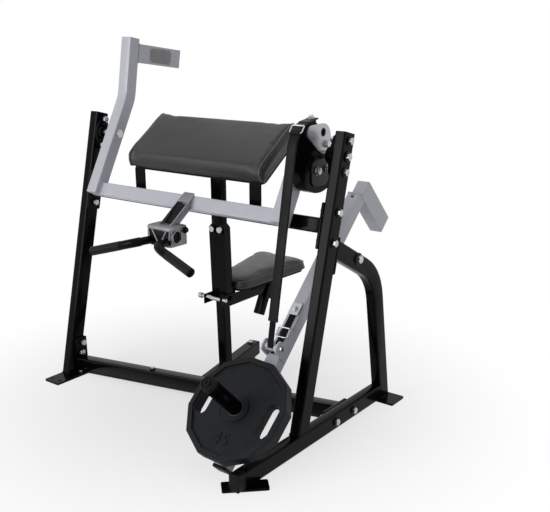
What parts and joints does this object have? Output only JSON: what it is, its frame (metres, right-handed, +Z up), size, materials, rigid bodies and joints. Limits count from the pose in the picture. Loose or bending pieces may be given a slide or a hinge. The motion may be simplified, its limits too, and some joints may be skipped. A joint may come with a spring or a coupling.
{
  "type": "biceps curl machine",
  "caption": "Plate-loaded seated biceps curl machine: a swinging arm frame with a curl bar winds a strap on a cam and lifts a weight lever.",
  "frame": {"origin": "middle of the footprint, on the floor", "axes": "+Z up, +X towards the strap and lever side, the sitter faces -Y"},
  "size_m": [1.2494, 1.0462, 1.3072],
  "materials": {
    "black_paint": "gloss",
    "silver_paint": "satin",
    "grey_paint": "satin",
    "zinc": "satin",
    "rubber": "matte",
    "vinyl": "satin",
    "board": "matte",
    "webbing": "matte"
  },
  "bodies": {
    "frame": {"right_base_rail": "black_paint", "rail_end_block": "rubber", "front_foot_plate": "black_paint", "rear_foot_plate": "black_paint", "left_foot_plate": "black_paint", "right_post": "black_paint", "left_post": "black_paint", "rear_leg": "black_paint", "leg_mount_plate": "black_paint", "base_crossbar": "black_paint", "base_tail": "black_paint", "tail_foot": "rubber", "upper_crossbar": "black_paint", "seat_post": "black_paint", "seat_column": "black_paint", "pad_support_left": "black_paint", "pad_support_centre": "black_paint", "pad_support_right": "black_paint", "pad_board": "board", "arm_pad": "vinyl", "bearing_left": "black_paint", "bearing_right": "black_paint", "bearing_bolt_left_1": "zinc", "bearing_bolt_left_2": "zinc", "bearing_bolt_right_1": "zinc", "bearing_bolt_right_2": "zinc", "lever_pivot_bolt": "zinc", "stem_sleeve": "black_paint", "seat_carriage": "black_paint", "seat_carrier": "black_paint"},
    "arm": {"arm_upright_left": "silver_paint", "arm_upright_right": "silver_paint", "arm_crossbar": "silver_paint", "axle_left": "zinc", "axle_right": "zinc", "flag_plate": "silver_paint", "cam_disc": "black_paint", "cam_cheeks": "silver_paint", "cam_cover": "grey_paint", "cam_belt": "webbing", "handle_bracket": "silver_paint", "handle_block": "silver_paint", "curl_bar": "black_paint", "grip_left": "rubber", "grip_right": "rubber"},
    "strap": {"strap_sleeve": "webbing", "strap_web": "webbing"},
    "lever": {"lever_tube": "silver_paint", "lever_bumper": "rubber", "counterweight": "silver_paint", "loading_horn": "black_paint", "strap_roller": "silver_paint", "strap_buckle": "zinc", "strap_anchor": "zinc", "strap_return": "webbing"},
    "weight": {"weight_plate": "rubber"},
    "seat": {"seat_cushion": "vinyl", "seat_board": "board", "seat_stem": "black_paint"},
    "pin": {"pull_pin": "zinc"}
  },
  "joints": [
    {"name": "lever_lift", "type": "hinge", "parent": "frame", "child": "lever", "pos_m": [0, 0.14199, 0.603], "axis": [-1, 0, 0], "range_deg": [0, 45]},
    {"name": "arm_curl", "type": "hinge", "parent": "frame", "child": "arm", "pos_m": [0, 0.05243, 0.955], "axis": [-1, 0, 0], "range_deg": [0, 110]},
    {"name": "strap_tilt", "type": "hinge", "parent": "frame", "child": "strap", "pos_m": [0, 0.05243, 0.955], "axis": [-1, 0, 0], "range_deg": [0, 20], "deforming": ["strap_sleeve", "strap_web"]},
    {"name": "plate_slide", "type": "slide", "parent": "lever", "child": "weight", "axis": [0, -0.7009, 0.7133], "range_m": [0, 0.19]},
    {"name": "seat_slide", "type": "slide", "parent": "frame", "child": "seat", "axis": [0, 0.454, 0.891], "range_m": [0, 0.09]},
    {"name": "pin_pull", "type": "slide", "parent": "frame", "child": "pin", "axis": [-1, 0, 0], "range_m": [0, 0.016], "stiffness_N_per_m": 400}
  ],
  "couplings": [
    {"joint": "arm_curl", "follows": "lever_lift", "ratio": 2.44},
    {"joint": "strap_tilt", "follows": "lever_lift", "ratio": 0.435}
  ]
}
